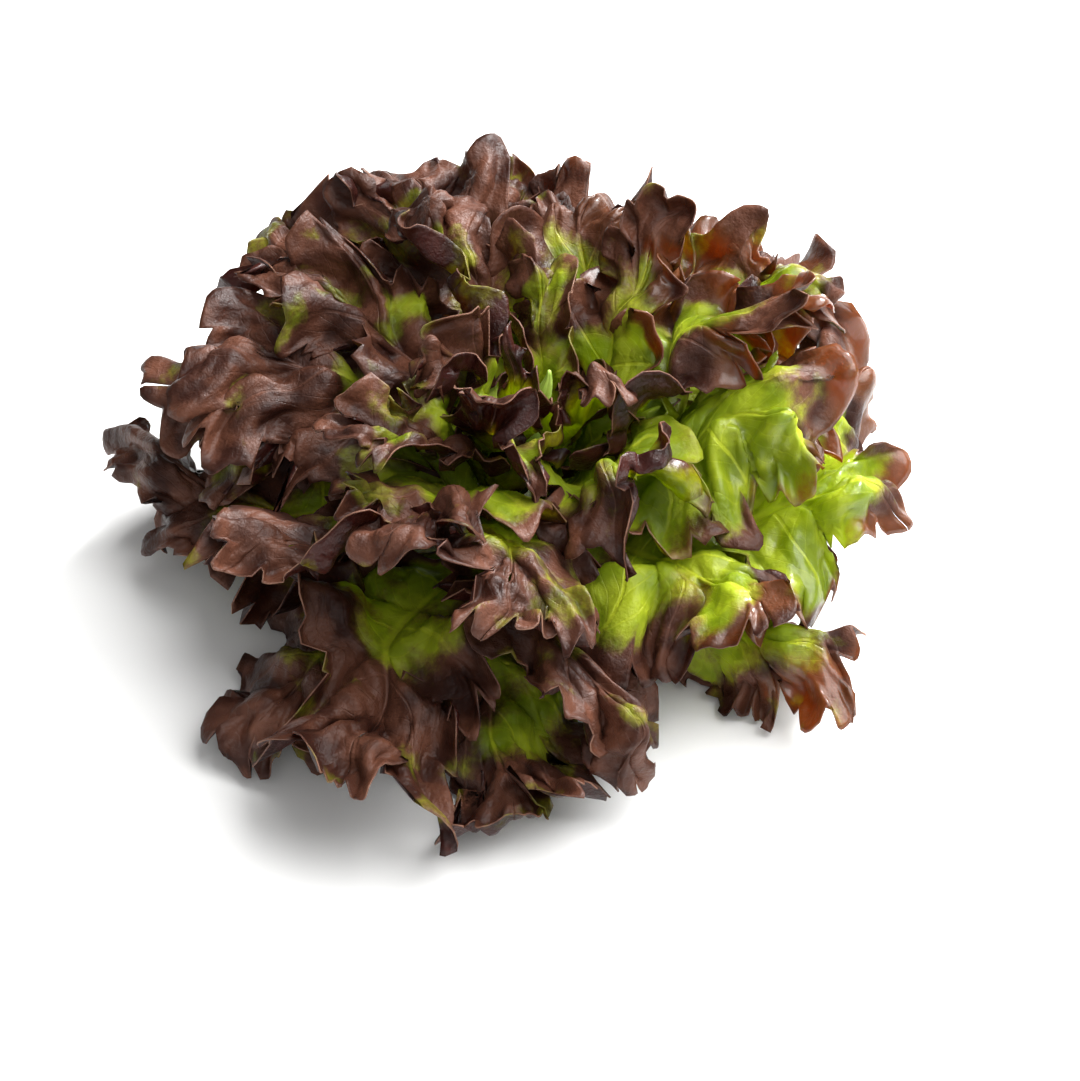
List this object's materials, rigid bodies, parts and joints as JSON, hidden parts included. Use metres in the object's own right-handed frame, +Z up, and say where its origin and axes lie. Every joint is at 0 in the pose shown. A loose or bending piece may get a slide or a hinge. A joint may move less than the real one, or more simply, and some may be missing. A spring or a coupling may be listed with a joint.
{
  "type": "red oak-leaf lettuce head",
  "caption": "Loose head of red oak-leaf lettuce on its trimmed stem, with long lobed dark red leaves round a green open heart.",
  "frame": {"origin": "middle of the flat cut face of the stem, which the head stands on", "axes": "+Z up, out of the heart; -Y towards the side that the picture shows; +X to the right as seen from there"},
  "size_m": [0.2805, 0.2845, 0.1317],
  "materials": {
    "outer_leaf": "crisp thin leaf, dark burgundy with greener base, satin",
    "middle_leaf": "crisp thin leaf, burgundy lobes and green base, satin",
    "inner_leaf": "crisp thin leaf, yellow-green with brownish red lobes, satin",
    "heart_leaf": "furled young leaves, pale yellow-green, satin",
    "stem": "moist white-green flesh, freshly cut, semi-gloss"
  },
  "bodies": {
    "root": {"heart": "heart_leaf", "inner_leaf_01": "inner_leaf", "inner_leaf_02": "inner_leaf", "inner_leaf_03": "inner_leaf", "inner_leaf_04": "inner_leaf", "inner_leaf_05": "inner_leaf", "inner_leaf_06": "inner_leaf", "inner_leaf_07": "inner_leaf", "inner_leaf_08": "inner_leaf", "inner_leaf_09": "inner_leaf", "inner_leaf_10": "inner_leaf", "inner_leaf_11": "inner_leaf", "inner_leaf_12": "inner_leaf", "inner_leaf_13": "inner_leaf", "inner_leaf_14": "inner_leaf", "middle_leaf_01": "middle_leaf", "middle_leaf_02": "middle_leaf", "middle_leaf_03": "middle_leaf", "middle_leaf_04": "middle_leaf", "middle_leaf_05": "middle_leaf", "middle_leaf_06": "middle_leaf", "middle_leaf_07": "middle_leaf", "middle_leaf_08": "middle_leaf", "middle_leaf_09": "middle_leaf", "middle_leaf_10": "middle_leaf", "middle_leaf_11": "middle_leaf", "middle_leaf_12": "middle_leaf", "outer_leaf_01": "outer_leaf", "outer_leaf_02": "outer_leaf", "outer_leaf_03": "outer_leaf", "outer_leaf_04": "outer_leaf", "outer_leaf_05": "outer_leaf", "outer_leaf_06": "outer_leaf", "outer_leaf_07": "outer_leaf", "outer_leaf_08": "outer_leaf", "outer_leaf_09": "outer_leaf", "outer_leaf_10": "outer_leaf", "outer_leaf_11": "outer_leaf", "outer_leaf_12": "outer_leaf", "outer_leaf_13": "outer_leaf", "outer_leaf_14": "outer_leaf", "outer_leaf_15": "outer_leaf", "stem": "stem"}
  },
  "joints": []
}
